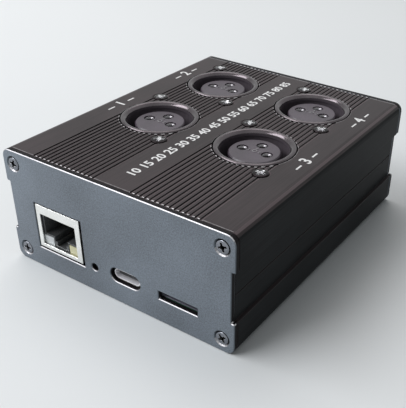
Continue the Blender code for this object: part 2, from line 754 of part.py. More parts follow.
def jack_shield():
    front = from_front(JACK_FROM_FRONT)
    outside = box((JACK_LEFT, front, SEAT_Z), (JACK_RIGHT, JACK_BACK_Y, JACK_TOP))
    inside = box(
        (JACK_LEFT + JACK_SHEET, JACK_INSIDE_Y, SEAT_Z + JACK_SHEET),
        (JACK_RIGHT - JACK_SHEET, JACK_BACK_Y - JACK_SHEET, JACK_TOP - JACK_SHEET),
    )
    window = box(
        (OPENING_LEFT, front - JACK_SHEET, OPENING_LOW),
        (OPENING_RIGHT, JACK_INSIDE_Y + JACK_SHEET, OPENING_HIGH),
    )
    add("jack_shield", combined(outside, cuts=[inside, window]), bright_steel())


def plug_outline():
    """The mouth for the plug, with the stepped channel for its latch below."""
    half = PLUG_WIDTH / 2
    steps = []
    for width, drop, upper in zip(LATCH_WIDTHS, LATCH_DROPS, (0, *LATCH_DROPS)):
        steps += [(OPENING_X + width / 2, PLUG_FLOOR - upper), (OPENING_X + width / 2, PLUG_FLOOR - drop)]
    right = [(OPENING_X + half, OPENING_HIGH), (OPENING_X + half, PLUG_FLOOR), *steps]
    return right + [(2 * OPENING_X - x, z) for x, z in reversed(right)]


def jack_body():
    front = JACK_INSIDE_Y + GAP
    back = JACK_BACK_Y - JACK_LINING
    left, right = JACK_LEFT + JACK_LINING, JACK_RIGHT - JACK_LINING
    block = box((left, front, SEAT_Z + JACK_LINING), (right, back, JACK_TOP - JACK_LINING))
    mouth = prism_y(plug_outline(), front - GAP, front + PLUG_DEPTH)
    reach = LENS_WIDTH + 2 * GAP
    lens_back = front + LENS_DEPTH + GAP
    low, high = SEAT_Z, LENS_TOP + GAP
    pockets = [
        box((JACK_LEFT, front - GAP, low), (OPENING_LEFT + reach, lens_back, high)),
        box((OPENING_RIGHT - reach, front - GAP, low), (JACK_RIGHT, lens_back, high)),
    ]
    half = carrier_width() / 2 + GAP
    slot = box(
        (OPENING_X - half, CARRIER_Y - GAP, OPENING_HIGH - GAP),
        (OPENING_X + half, CARRIER_Y + CARRIER_DEPTH + GAP, OPENING_HIGH + CARRIER_HEIGHT + GAP),
    )
    add("jack_body", combined(block, cuts=[mouth, *pockets, slot]), black_plastic())


def carrier_width():
    return WIRE_COUNT * WIRE_PITCH


def jack_wires():
    """Eight sprung contact wires that hang from one carrier bar above the plug's mouth."""
    half = carrier_width() / 2
    bar = box(
        (OPENING_X - half, CARRIER_Y, OPENING_HIGH),
        (OPENING_X + half, CARRIER_Y + CARRIER_DEPTH, OPENING_HIGH + CARRIER_HEIGHT),
    )
    near, far = CARRIER_Y + WIRE_THICKNESS, CARRIER_Y + CARRIER_DEPTH - WIRE_THICKNESS
    tip = CARRIER_Y + WIRE_REACH
    root, bend = OPENING_HIGH + CARRIER_HEIGHT / 2, OPENING_HIGH - GAP
    side = [
        (near, root),
        (near, bend - WIRE_THICKNESS),
        (tip, bend - WIRE_THICKNESS - WIRE_DROP),
        (tip, bend - WIRE_DROP),
        (far, bend),
        (far, root),
    ]
    wires = []
    for i in range(WIRE_COUNT):
        x = OPENING_X + (i - (WIRE_COUNT - 1) / 2) * WIRE_PITCH
        ends = (x - WIRE_WIDTH / 2, x + WIRE_WIDTH / 2)
        wires.append(lofted([[(end, y, z) for y, z in side] for end in ends]))
    add("jack_wires", combined(bar, joins=wires), finish("gilded_brass", (0.83, 0.63, 0.28), 0.3, 1.0))


def jack_lenses():
    y = JACK_INSIDE_Y + GAP
    low = SEAT_Z + JACK_LINING
    clear = finish("clear_lens", (0.75, 0.78, 0.8), 0.2)
    yellow = finish("yellow_lens", (0.85, 0.8, 0.45), 0.2)
    lenses = (
        ("jack_lens_left", JACK_LEFT + JACK_LINING, OPENING_LEFT + GAP + LENS_WIDTH, clear),
        ("jack_lens_right", OPENING_RIGHT - GAP - LENS_WIDTH, JACK_RIGHT - JACK_LINING, yellow),
    )
    for name, left, right, material in lenses:
        add(name, box((left, y, low), (right, y + LENS_DEPTH, LENS_TOP)), material)


# USB-C inlet


def usb_shell():
    start = from_front(USB_FROM_FRONT)
    end = start + USB_DEPTH
    outside = prism_y(obround(USB_WIDTH, USB_HEIGHT, USB_X, USB_Z), start, end)
    hollow = obround(USB_WIDTH - 2 * USB_SHEET, USB_HEIGHT - 2 * USB_SHEET, USB_X, USB_Z)
    add("usb_shell", combined(outside, cuts=[prism_y(hollow, start - GAP, end + GAP)]), bright_steel())


def usb_tongue():
    end = from_front(USB_FROM_FRONT) + USB_DEPTH
    start = end - USB_BLOCK_DEPTH
    lining = 2 * (USB_SHEET + GAP)
    block = prism_y(obround(USB_WIDTH - lining, USB_HEIGHT - lining, USB_X, USB_Z), start, end)
    tongue = rectangle(TONGUE_WIDTH, USB_TONGUE_THICKNESS, USB_X, USB_Z)
    blade = prism_y(tongue, start - USB_TONGUE_LENGTH, start + USB_BLOCK_DEPTH / 2)
    add("usb_tongue", combined(block, joins=[blade]), black_plastic())


# Card socket


def card_socket():
    """A tray with the slot in it, and a cover whose front edge is bent down over the tray's front."""
    front = from_front(CARD_FROM_FRONT)
    back = front + CARD_DEPTH
    left, right = CARD_X - CARD_WIDTH / 2, CARD_X + CARD_WIDTH / 2
    base_top = SEAT_Z + CARD_BASE_HEIGHT
    half_slot = CARD_SLOT_WIDTH / 2
    slot_low = SEAT_Z + CARD_FLOOR
    lip_low = slot_low + CARD_SLOT_HEIGHT
    lip_back = front + CARD_COVER_THICKNESS
    slot = box(
        (CARD_X - half_slot, front - GAP, slot_low),
        (CARD_X + half_slot, front + CARD_SLOT_DEPTH, base_top + GAP),
    )
    notch = box((left - GAP, front - GAP, lip_low - GAP), (right + GAP, lip_back + GAP, base_top + GAP))
    base = combined(box((left, front, SEAT_Z), (right, back, base_top)), cuts=[slot, notch])
    add("card_socket_base", base, finish("socket_grey", (0.06, 0.06, 0.065), 0.5))
    sheet_low = base_top + GAP
    sheet_top = sheet_low + CARD_COVER_THICKNESS
    side = [
        (front, lip_low),
        (lip_back, lip_low),
        (lip_back, sheet_low),
        (back, sheet_low),
        (back, sheet_top),
        (front, sheet_top),
    ]
    cover = lofted([[(x, y, z) for y, z in side] for x in (left, right)])
    add("card_socket_cover", cover, bright_steel())


# Reset switch


def reset_switch():
    front = from_front(SWITCH_FROM_FRONT)
    body = box(
        (RESET_X - SWITCH_WIDTH / 2, front, SEAT_Z),
        (RESET_X + SWITCH_WIDTH / 2, front + SWITCH_DEPTH, SEAT_Z + SWITCH_HEIGHT),
    )
    inside = PLUNGER_LENGTH - PLUNGER_REACH
    pocket = prism_y(
        rectangle(PLUNGER_WIDTH + 2 * GAP, PLUNGER_HEIGHT + 2 * GAP, RESET_X, RESET_Z),
        front - GAP,
        front + inside + PLUNGER_TRAVEL + GAP,
    )
    add("reset_switch_body", combined(body, cuts=[pocket]), bright_steel())
    travel_axis = bpy.data.objects.new("reset_plunger_axis", None)
    travel_axis.location = (RESET_X, front - PLUNGER_REACH, RESET_Z)
    bpy.context.scene.collection.objects.link(travel_axis)
    plunger = prism_y(rectangle(PLUNGER_WIDTH, PLUNGER_HEIGHT), 0, PLUNGER_LENGTH)
    add("reset_plunger", plunger, black_plastic(), parent=travel_axis)


def main():
    for leftover in list(bpy.data.objects):
        bpy.data.objects.remove(leftover)
    top_shell()
    bottom_shell()
    front_plate()
    rear_plate()
    plate_screws()
    main_board()
    sockets()
    socket_screws()
    jack_shield()
    jack_body()
    jack_wires()
    jack_lenses()
    usb_shell()
    usb_tongue()
    card_socket()
    reset_switch()
    chips()


main()
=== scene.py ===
"""Looks for the Art-net node: finishes, fine pieces, printed numbers, floor, light and camera."""

import math

import bmesh
import bpy
from mathutils import Matrix, Vector


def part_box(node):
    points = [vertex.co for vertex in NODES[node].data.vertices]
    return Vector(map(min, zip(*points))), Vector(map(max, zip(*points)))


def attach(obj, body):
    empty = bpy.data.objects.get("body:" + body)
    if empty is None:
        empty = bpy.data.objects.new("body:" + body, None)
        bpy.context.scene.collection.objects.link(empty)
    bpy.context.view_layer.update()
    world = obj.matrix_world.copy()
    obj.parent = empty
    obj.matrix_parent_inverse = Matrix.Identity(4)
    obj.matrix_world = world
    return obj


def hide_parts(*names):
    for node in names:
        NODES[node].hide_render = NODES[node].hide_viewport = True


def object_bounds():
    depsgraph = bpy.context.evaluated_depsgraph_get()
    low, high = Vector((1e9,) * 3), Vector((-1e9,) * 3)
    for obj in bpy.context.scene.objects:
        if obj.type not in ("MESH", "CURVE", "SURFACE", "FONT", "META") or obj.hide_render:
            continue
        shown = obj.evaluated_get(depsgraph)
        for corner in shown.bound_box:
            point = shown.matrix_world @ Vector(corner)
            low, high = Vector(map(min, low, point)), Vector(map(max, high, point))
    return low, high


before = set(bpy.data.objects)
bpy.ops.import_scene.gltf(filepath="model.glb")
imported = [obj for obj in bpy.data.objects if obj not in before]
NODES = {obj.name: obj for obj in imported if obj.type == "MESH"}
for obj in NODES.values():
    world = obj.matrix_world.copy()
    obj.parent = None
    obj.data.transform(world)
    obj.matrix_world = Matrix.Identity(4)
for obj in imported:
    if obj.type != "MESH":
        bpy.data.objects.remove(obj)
cad_low, cad_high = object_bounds()

MM = 0.001
BODY = "enclosure"
SOCKETS = ("socket_1", "socket_2", "socket_3", "socket_4")
SHELL_LOW, SHELL_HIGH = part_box("top_shell")
TOP_Z = SHELL_HIGH.z
FRONT_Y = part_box("front_plate")[0].y


def middle_of(node):
    low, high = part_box(node)
    return (low + high) / 2


# Material trees


class Tree:
    """Short calls for building one material's node tree around its Principled shader.

    A value given to an input is a number, a colour or another node's output.
    """

    def __init__(self, name):
        self.material = bpy.data.materials.new(name)
        self.material.use_nodes = True
        self.nodes = self.material.node_tree.nodes
        self.links = self.material.node_tree.links
        self.shader = self.nodes["Principled BSDF"]
        coordinates = self.add("TexCoord").outputs
        self.place, self.directions = coordinates["Object"], coordinates["Normal"]
        self.rounded = None

    def feed(self, socket, value):
        if isinstance(value, bpy.types.NodeSocket):
            self.links.new(value, socket)
        elif socket.type == "RGBA":
            socket.default_value = (*value, 1)
        else:
            socket.default_value = value

    def add(self, kind, inputs=None, **settings):
        """A new node with these settings, its inputs fed by name or by number."""
        node = self.nodes.new("ShaderNode" + kind)
        for key, value in settings.items():
            setattr(node, key, value)
        for key, value in (inputs or {}).items():
            self.feed(node.inputs[key], value)
        return node

    def set(self, **values):
        """Feeds the shader's own inputs, such as Base_Color."""
        for key, value in values.items():
            self.feed(self.shader.inputs[key.replace("_", " ")], value)

    def source(self, key):
        """The output that now feeds one of the shader's inputs."""
        return self.shader.inputs[key].links[0].from_socket

    def parts(self, vector):
        """A vector's X, Y and Z."""
        return self.add("SeparateXYZ", {"Vector": vector}).outputs

    def noise(self, scale, detail=3.0, roughness=0.55, stretch=None):
        place = self.place
        if stretch:
            place = self.add("Mapping", {"Scale": stretch, "Vector": place}).outputs["Vector"]
        inputs = {"Scale": scale, "Detail": detail, "Roughness": roughness, "Vector": place}
        return self.add("TexNoise", inputs).outputs["Fac"]

    def spread(self, value, low, high, to_low=0.0, to_high=1.0):
        """Maps a range of values to another range, and holds it to that."""
        inputs = {"From Min": low, "From Max": high, "To Min": to_low, "To Max": to_high}
        return self.add("MapRange", {**inputs, "Value": value}).outputs["Result"]

    def math(self, operation, first, second=0.0):
        return self.add("Math", {0: first, 1: second}, operation=operation).outputs["Value"]

    def product(self, first, *others):
        for other in others:
            first = self.math("MULTIPLY", first, other)
        return first

    def either(self, first, *others):
        """The largest of several masks."""
        for other in others:
            first = self.math("MAXIMUM", first, other)
        return first

    def blend(self, factor, first, second):
        """A colour between two others, which are inputs 6 and 7 of the Mix node."""
        inputs = {6: first, 7: second, "Factor": factor}
        return self.add("Mix", inputs, data_type="RGBA").outputs[2]

    def edges(self, radius):
        """A mask of the edges, from how far a rounded normal turns away from the true one."""
        self.rounded = self.add("Bevel", {"Radius": radius}, samples=6).outputs["Normal"]
        true = self.add("NewGeometry").outputs["True Normal"]
        dot = self.add("VectorMath", {0: self.rounded, 1: true}, operation="DOT_PRODUCT")
        turned_away = self.math("SUBTRACT", 1.0, dot.outputs["Value"])
        return self.spread(turned_away, 0.02, 0.2)

    def bump(self, height, strength, distance):
        inputs = {"Height": height, "Strength": strength, "Distance": distance}
        if self.rounded is not None:
            inputs["Normal"] = self.rounded
        self.set(Normal=self.add("Bump", inputs).outputs["Normal"])


def times(colour, factor):
    return tuple(factor * c for c in colour)


# Kinds of finish

DRAWN_LENGTHWISE = (2600, 45, 2600)  # noise stretched along Y, as an extrusion is drawn
SCRATCHED = (700, 9000, 5000)


def anodised(name, colour, worn, roughness, edge_share, relief=0.35):
    """Satin anodised aluminium: drawn lengthwise, with a fine etch and edges rubbed lighter."""
    tree = Tree(name)
    edge = tree.edges(0.12 * MM)
    streaks = tree.noise(1, 4, 0.6, DRAWN_LENGTHWISE)
    etch = tree.noise(5200, 2, 0.5)
    clouds = tree.noise(38, 3, 0.5)
    shade = tree.math("ADD", tree.product(streaks, 0.6), tree.product(clouds, 0.4))
    base = tree.blend(tree.spread(shade, 0.35, 0.65), times(colour, 0.62), times(colour, 1.5))
    rubbed = tree.spread(tree.noise(900, 4, 0.7), 0.35, 0.6, 0.25, 1.0)
    mask = tree.product(edge, rubbed, edge_share)
    tree.set(
        Base_Color=tree.blend(mask, base, worn),
        Roughness=tree.spread(shade, 0.3, 0.7, roughness - 0.06, roughness + 0.07),
    )
    height = tree.math("ADD", tree.product(etch, 0.5), tree.product(streaks, 0.5))
    tree.bump(height, relief, 0.012 * MM)
    return tree


def plastic(name, colour, roughness, grain=2400, edge_radius=0.15 * MM, relief=0.25):
    """Moulded plastic with a fine spark-eroded grain and slightly lighter edges."""
    tree = Tree(name)
    edge = tree.edges(edge_radius)
    clouds = tree.noise(120, 3, 0.5)
    grainy = tree.noise(grain, 2, 0.6)
    base = tree.blend(tree.spread(clouds, 0.35, 0.65), times(colour, 0.8), times(colour, 1.25))
    tree.set(
        Base_Color=tree.blend(tree.product(edge, 0.35), base, times(colour, 2.6)),
        Roughness=tree.spread(grainy, 0.3, 0.7, roughness - 0.05, roughness + 0.08),
    )
    tree.bump(grainy, relief, 0.01 * MM)
    return tree


def plated(name, colour, roughness, scratches=0.3, dull=None, glint=0.5):
    """Plated sheet or turned metal with fine scratches, slight tarnish and edges painted brighter
    as a glint.
    """
    tree = Tree(name)
    tree.set(Metallic=1.0)
    edge = tree.edges(0.1 * MM)
    fine = tree.noise(1, 3, 0.7, SCRATCHED)
    tarnish = tree.noise(260, 4, 0.6)
    base = tree.blend(tree.spread(tarnish, 0.35, 0.7), colour, dull or times(colour, 0.72))
    cloudy = tree.spread(tarnish, 0.3, 0.7, -0.05, 0.08)
    scratched = tree.spread(fine, 0.3, 0.7, roughness, roughness + 0.1)
    tree.set(
        Base_Color=tree.blend(tree.product(edge, glint), base, (0.95, 0.95, 0.95)),
        Roughness=tree.math("ADD", cloudy, scratched),
    )
    tree.bump(fine, scratches, 0.006 * MM)
    return tree


GROOVES_WIDTH = 22 * MM  # each of the two groups of grooves, across
# The bare ridge tops that these sizes set out are partly wear and partly painted highlight,
# standing in for glints on the ridges.
BARE_FRONT = 0.2 * MM  # how far the top is bare from its front end
BARE_REAR = 0.55 * MM  # and from its rear end
BARE_RIM = 12.04 * MM  # radius of the bare disc under each outlet's rim
BARE_RIM_SHIFT = (0.09 * MM, -0.19 * MM)  # from the outlet's axis
BARE_DEPTH = 0.1 * MM  # only the ridges' tops are bare
GROOVE_TOP, GROOVE_BOTTOM = TOP_Z - 0.12 * MM, TOP_Z - 0.5 * MM


def shell_top():
    """The grooved top: ridge tops milled back to the metal at their ends and at the rims of the
    round holes, marks partly of wear and partly painted highlight standing in for glints; the
    grooves painted lighter against the shade in them.
    """
    tree = anodised(
        "shell_anodised",
        colour=(0.037, 0.029, 0.0305),
        worn=(0.30, 0.28, 0.28),
        roughness=0.42,
        edge_share=0.3,
    )
    tree.set(IOR=1.25)
    across, along, up = tree.parts(tree.place)
    ends = tree.either(
        tree.math("LESS_THAN", along, SHELL_LOW.y + BARE_FRONT),
        tree.math("GREATER_THAN", along, SHELL_HIGH.y - BARE_REAR),
    )
    rims = []
    for socket in SOCKETS:
        axis = middle_of(f"{socket}_insert")
        near_x = tree.math("SUBTRACT", across, axis.x + BARE_RIM_SHIFT[0])
        near_y = tree.math("SUBTRACT", along, axis.y + BARE_RIM_SHIFT[1])
        squares = tree.math("ADD", tree.product(near_x, near_x), tree.product(near_y, near_y))
        rims.append(tree.math("LESS_THAN", squares, BARE_RIM**2))
    row_x = middle_of("socket_4_insert").x
    from_row = tree.math("ABSOLUTE", tree.math("SUBTRACT", tree.math("ABSOLUTE", across), row_x))
    smooth = tree.math("GREATER_THAN", from_row, GROOVES_WIDTH / 2)
    # Pale metal on the ridge tops at the ends and round the rims: partly wear, partly painted
    # highlight standing in for glints.
    bare_and_glint = tree.product(
        tree.either(ends, *rims),
        tree.spread(smooth, 0, 1, 0.6, 0.2),  # less beside the grooves than in them
        tree.math("GREATER_THAN", up, TOP_Z - BARE_DEPTH),
        tree.spread(tree.noise(700, 3, 0.6), 0.3, 0.55, 0.35, 1.0),
    )
    in_groove = tree.product(
        tree.math("LESS_THAN", up, GROOVE_TOP), tree.math("GREATER_THAN", up, GROOVE_BOTTOM)
    )
    # Painted light: the groove walls and floors are painted about three times lighter than the top,
    # against the shade that falls in the grooves.
    anodised_with_painted_light = tree.blend(in_groove, tree.source("Base Color"), (0.110, 0.088, 0.092))
    tree.set(Base_Color=tree.blend(bare_and_glint, anodised_with_painted_light, (0.80, 0.78, 0.79)), Metallic=bare_and_glint)
    return tree


OUTER_HALF = 0.8 * MM  # the chamfers this near to the front or rear end are outer ones


def rubbed_edge():
    """The plates' chamfers: the outer ones that face up painted pale metal, partly wear and partly
    painted highlight; the inner ones that face up painted dark as shade; the rest in the plate's
    colour.
    """
    tree = plated("rubbed_edge", (0.52, 0.51, 0.53), 0.38)
    from_middle = tree.math("ABSOLUTE", tree.parts(tree.place)["Y"])
    outer = tree.math("GREATER_THAN", from_middle, -FRONT_Y - OUTER_HALF)
    upward = tree.spread(tree.parts(tree.directions)["Z"], 0.25, 0.5)
    worn = tree.spread(tree.noise(260, 3, 0.6), 0.3, 0.6, 0.55, 1.0)
    # Painted shade: chamfers that face up on the inner side are painted dark, those that face down
    # or aside keep the plate's colour.
    anodised_with_painted_light = tree.blend(upward, (0.115, 0.132, 0.150), (0.025, 0.024, 0.026))
    # Painted highlight with some wear: the outer chamfers that face up are painted pale metal.
    bare_and_glint = tree.product(upward, outer, worn)
    tree.set(Base_Color=tree.blend(bare_and_glint, anodised_with_painted_light, tree.source("Base Color")))
    return tree


def barrel():
    """The outlets' barrels: polished at the lip, a plain satin down the bore."""
    polished, satin = (0.096, 0.083, 0.089), (0.092, 0.078, 0.090)
    polish_ends, satin_starts = cad_high.z - 0.55 * MM, cad_high.z - 1.3 * MM
    tree = plastic("barrel_plastic", polished, 0.17, edge_radius=0.2 * MM, relief=0.03)
    down = tree.spread(tree.parts(tree.place)["Z"], polish_ends, satin_starts)
    tree.set(
        Base_Color=tree.blend(down, tree.source("Base Color"), satin),
        Roughness=tree.math("ADD", tree.source("Roughness"), tree.product(down, 0.22)),
        Metallic=tree.spread(down, 0, 1, 0.9, 0),
    )
    return tree


def lens(name, colour):
    """Cloudy light-pipe plastic."""
    tree = Tree(name)
    tree.set(Transmission_Weight=0.2, IOR=1.49)
    cloudy = tree.noise(700, 3, 0.6)
    tree.set(
        Base_Color=tree.blend(tree.spread(cloudy, 0.3, 0.7), colour, times(colour, 0.85)),
        Roughness=tree.spread(cloudy, 0.3, 0.7, 0.16, 0.3),
    )
    return tree


def board():
    """Green solder mask over copper tracks, which show as a slightly lighter, raised grid."""
    tree = Tree("solder_mask")
    grid = {"Scale": 260.0, "Mortar Size": 0.06, "Brick Width": 1.7, "Row Height": 0.4}
    tracks = tree.add("TexBrick", {**grid, "Vector": tree.place}).outputs["Fac"]
    green = tree.blend(tracks, (0.010, 0.075, 0.035), (0.02, 0.16, 0.07))
    speck = tree.spread(tree.noise(900, 3), 0.35, 0.65, 0.85, 1.1)
    tinted = tree.add("VectorMath", {0: green, "Scale": speck}, operation="SCALE")
    tree.set(
        Base_Color=tinted.outputs["Vector"],
        Roughness=tree.spread(tree.noise(500, 2), 0.3, 0.7, 0.28, 0.4),
    )
    tree.bump(tracks, 0.4, 0.02 * MM)
    return tree


def ink():
    """White screen print, a little thin and rubbed in places."""
    tree = Tree("white_print")
    worn = tree.spread(tree.noise(1600, 4, 0.7), 0.28, 0.45)
    tree.set(
        Base_Color=tree.blend(worn, (0.42, 0.41, 0.41), (0.80, 0.80, 0.79)),
        Roughness=tree.spread(tree.noise(2500, 2), 0.3, 0.7, 0.5, 0.65),
    )
    return tree


# The finishes

DARK_WORN = (0.20, 0.20, 0.21)

shell_finish = shell_top()
# Painted shade: the shell's sides and underside are painted darker and less glossy than its top.
shaded_side_finish = anodised(
    "shaded_side_anodised", (0.018, 0.019, 0.020), DARK_WORN, roughness=0.46, edge_share=0.3
)
shaded_side_finish.set(IOR=1.12)
plate_finish = anodised(
    "plate_anodised",
    colour=(0.160, 0.185, 0.216),
    worn=(0.60, 0.61, 0.63),
    roughness=0.38,
    edge_share=0.35,
    relief=0.14,
)
plate_finish.set(Metallic=0.3)
# Painted shade: the walls of the plates' outline and cut-outs are painted near black and less
# glossy than the plates' face.
shaded_plate_side = anodised(
    "shaded_plate_side", (0.012, 0.011, 0.012), DARK_WORN, roughness=0.45, edge_share=0.25
)
shaded_plate_side.set(IOR=1.15)
lit_chamfer_finish = rubbed_edge()

barrel_finish = barrel()
insert_finish = plastic("insert_plastic", (0.052, 0.038, 0.052), 0.34, relief=0.15)
# Painted highlight: the marks moulded on the inserts are painted much lighter than the insert,
# standing in for their glints.
highlit_mark_finish = plastic("highlit_mark_plastic", (0.20, 0.19, 0.20), 0.3, relief=0.1)
jack_plastic = plastic("jack_plastic", (0.075, 0.078, 0.080), 0.22, relief=0.1)
dark_plastic = plastic("dark_plastic", (0.018, 0.018, 0.02), 0.38)
chip_plastic = plastic("chip_plastic", (0.02, 0.02, 0.022), 0.5, grain=3800)
# Painted light: the card socket's tray is painted pale grey-blue, standing in for light reaching it
# through the slot.
lit_tray_plastic = plastic("lit_tray_plastic", (0.24, 0.24, 0.29), 0.4)
laminate = plastic("laminate", (0.045, 0.038, 0.022), 0.6, grain=3000)

nickel = plated("nickel", (0.78, 0.78, 0.77), 0.22)
plate_screw_metal = plated(
    "plate_screw_metal", (0.26, 0.27, 0.30), 0.20, dull=(0.17, 0.18, 0.20)
)
usb_metal = plated("usb_metal", (0.95, 0.94, 0.97), 0.34, 0.2, dull=(0.88, 0.87, 0.90))
usb_metal.set(Metallic=0.1)
shield_metal = plated("shield_metal", (0.92, 0.92, 0.90), 0.24, 0.2, dull=(0.80, 0.80, 0.77))
black_zinc = plated(
    "black_zinc", (0.017, 0.013, 0.015), 0.14, 0.2, dull=(0.012, 0.009, 0.010), glint=0.25
)
# Painted highlight: the black socket screws' cross recesses are painted bright metal, standing in
# for their glints.
glinting_recess = plated("glinting_recess", (0.90, 0.89, 0.90), 0.16, 0.2, dull=(0.06, 0.06, 0.07))
# Painted shade: the plate screws' cross recesses are painted darker than their heads.
shaded_recess = plated("shaded_recess", (0.10, 0.10, 0.11), 0.18, 0.2, dull=(0.03, 0.03, 0.03))
# Painted shade: the silvered contacts are painted dark grey, for the shade inside the insert's
# holes.
shaded_silver = plated(
    "silvered_brass", (0.19, 0.18, 0.19), 0.22, 0.1, dull=(0.13, 0.125, 0.13), glint=0.2
)
gilded = plated("gilded_brass", (0.86, 0.63, 0.27), 0.2, 0.15)

clear_lens = lens("clear_lens", (0.86, 0.89, 0.90))
yellow_lens = lens("yellow_lens", (0.93, 0.89, 0.56))
solder_mask = board()
white_print = ink()


# Finishes of the CAD pieces


def paint(name, *trees, choose=None):
    """Gives a piece its finish, or each face the one whose number its normal leads to."""
    data = NODES[name].data
    data.materials.clear()
    for tree in trees:
        data.materials.append(tree.material)
    if choose:
        for face in data.polygons:
            face.material_index = choose(face.normal)


def shell_face(normal):
    """The top and all that faces up or along the box, or else the sides and the underside, whose
    finish is painted darker as shade.
    """
    return 1 if abs(normal.x) > 0.8 or normal.z < -0.5 else 0


def board_face(normal):
    return 0 if abs(normal.z) > 0.5 else 1


def plate_face(normal):
    """Front and back, the walls of the outline and cut-outs, and the chamfers."""
    if abs(normal.y) > 0.9:
        return 0
    return 1 if abs(normal.y) < 0.35 else 2


SINGLE_FINISHES = {
    "jack_shield": shield_metal,
    "jack_body": jack_plastic,
    "jack_wires": gilded,
    "jack_lens_left": clear_lens,
    "jack_lens_right": yellow_lens,
    "usb_shell": usb_metal,
    "usb_tongue": dark_plastic,
    "reset_plunger": dark_plastic,
    "reset_switch_body": nickel,
    "card_socket_cover": nickel,
    "card_socket_base": lit_tray_plastic,
    "power_regulator": chip_plastic,
}
OUTLET_FINISHES = {
    "housing": barrel_finish,
    "insert": insert_finish,
    "contact": shaded_silver,
    "screw": black_zinc,
}


def paint_pieces():
    for name in ("top_shell", "bottom_shell"):
        paint(name, shell_finish, shaded_side_finish, choose=shell_face)
    for name in ("front_plate", "rear_plate"):
        paint(name, plate_finish, shaded_plate_side, lit_chamfer_finish, choose=plate_face)
    paint("main_board", solder_mask, laminate, choose=board_face)
    for name in NODES:
        if name in SINGLE_FINISHES:
            paint(name, SINGLE_FINISHES[name])
        elif name.endswith("_chip") or name.startswith("line_driver"):
            paint(name, chip_plastic)
        elif name.startswith("socket_"):
            paint(name, OUTLET_FINISHES[name.split("_")[2]])
        elif "plate_screw" in name:
            paint(name, nickel)


paint_pieces()


# Making pieces


def new_object(name, data):
    made = bpy.data.objects.new(name, data)
    bpy.context.scene.collection.objects.link(made)
    return made


def add_piece(name, mesh, tree, location=(0, 0, 0), rotation=(0, 0, 0)):
    piece = new_object(name, mesh)
    piece.location = location
    piece.rotation_euler = rotation
    mesh.materials.clear()
    mesh.materials.append(tree.material)
    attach(piece, BODY)
    return piece


def final_mesh(maker):
    """The mesh that a text or a modifier makes."""
    bpy.context.view_layer.update()
    evaluated = maker.evaluated_get(bpy.context.evaluated_depsgraph_get())
    return bpy.data.meshes.new_from_object(evaluated)


def closed_mesh(bm, name):
    bmesh.ops.recalc_face_normals(bm, faces=bm.faces)
    mesh = bpy.data.meshes.new(name)
    bm.to_mesh(mesh)
    bm.free()
    return mesh


def smooth_shade(mesh, sharp_from):
    """Smooth shading, with edges kept sharp from an angle in degrees."""
    mesh.shade_smooth()
    mesh.set_sharp_from_angle(angle=math.radians(sharp_from))


def turned(profile, segments, ring=False):
    """A solid turned about Z from (radius, z) points.

    The points start and end on the axis, or for a ring they go round its closed cross-section.
    """
    bm = bmesh.new()
    rings = []
    for radius, z in profile:
        if radius == 0:
            rings.append([bm.verts.new((0, 0, z))] * segments)
            continue
        turns = (2 * math.pi * i / segments for i in range(segments))
        rings.append([bm.verts.new((radius * math.cos(a), radius * math.sin(a), z)) for a in turns])
    for near, far in zip(rings, rings[1:] + (rings[:1] if ring else [])):
        for i in range(segments):
            j = (i + 1) % segments
            corners = tuple(dict.fromkeys((near[i], near[j], far[j], far[i])))
            if len(corners) > 2:
                bm.faces.new(corners)
    return closed_mesh(bm, "turned")


def arc(centre, radius, start, end, steps):
    """Points on a part of a circle in the (radius, z) plane, between two angles in degrees."""
    angles = (math.radians(start + (end - start) * i / steps) for i in range(steps + 1))
    return [(centre[0] + radius * math.cos(a), centre[1] + radius * math.sin(a)) for a in angles]


def lettering(text, size, height, spacing=1.0):
    """A thin solid of the text, centred on its own origin, with slightly heavier strokes."""
    curve = bpy.data.curves.new("text", "FONT")
    curve.body = text
    curve.size = size
    curve.extrude = height / 2
    curve.align_x = "CENTER"
    curve.align_y = "CENTER"
    curve.space_character = spacing
    curve.resolution_u = 3
    curve.offset = 0.02 * size
    maker = new_object("text", curve)
    mesh = final_mesh(maker)
    bpy.data.objects.remove(maker)
    return mesh


# Printed numbers

PRINT_THICKNESS = 0.03 * MM
SIDEWAYS = (0, 0, math.pi / 2)  # lines of print run from front to rear
PORT_SIZE, PORT_X, PORT_SHIFT = 4.9 * MM, 32.5 * MM, 0.6 * MM
SCALE_SIZE = 3.9 * MM
SCALE_MARKS = range(10, 90, 5)  # distances from the front face in mm


def print_numbers():
    z = TOP_Z + PRINT_THICKNESS / 2
    for number, socket in enumerate(SOCKETS, 1):
        axis = middle_of(f"{socket}_housing")
        place = (math.copysign(PORT_X, axis.x), axis.y + PORT_SHIFT, z)
        mesh = lettering(f"– {number} –", PORT_SIZE, PRINT_THICKNESS, 1.1)
        add_piece(f"print_port_{number}", mesh, white_print, place, SIDEWAYS)
    for distance in SCALE_MARKS:
        mesh = lettering(f"{distance:02d}", SCALE_SIZE, PRINT_THICKNESS)
        place = (0, FRONT_Y + distance * MM, z)
        add_piece(f"print_scale_{distance:02d}", mesh, white_print, place, SIDEWAYS)


print_numbers()


# Rounded edges of the CAD pieces


def soften(name, width, segments=1, finish=-1):
    """Rounds the sharp edges of a CAD piece by modifiers, which leave its own mesh as it is.

    The new faces take the finish of this number, or by -1 that of their neighbours.
    """
    piece = NODES[name]
    weld = piece.modifiers.new("weld", "WELD")
    weld.merge_threshold = 0.001 * MM
    flatten = piece.modifiers.new("flatten", "DECIMATE")
    flatten.decimate_type = "DISSOLVE"
    flatten.angle_limit = math.radians(1)
    flatten.delimit = {"MATERIAL"}
    bevel = piece.modifiers.new("bevel", "BEVEL")
    bevel.width = width
    bevel.segments = segments
    bevel.use_clamp_overlap = False
    bevel.limit_method = "ANGLE"
    bevel.angle_limit = math.radians(60)
    bevel.material = finish


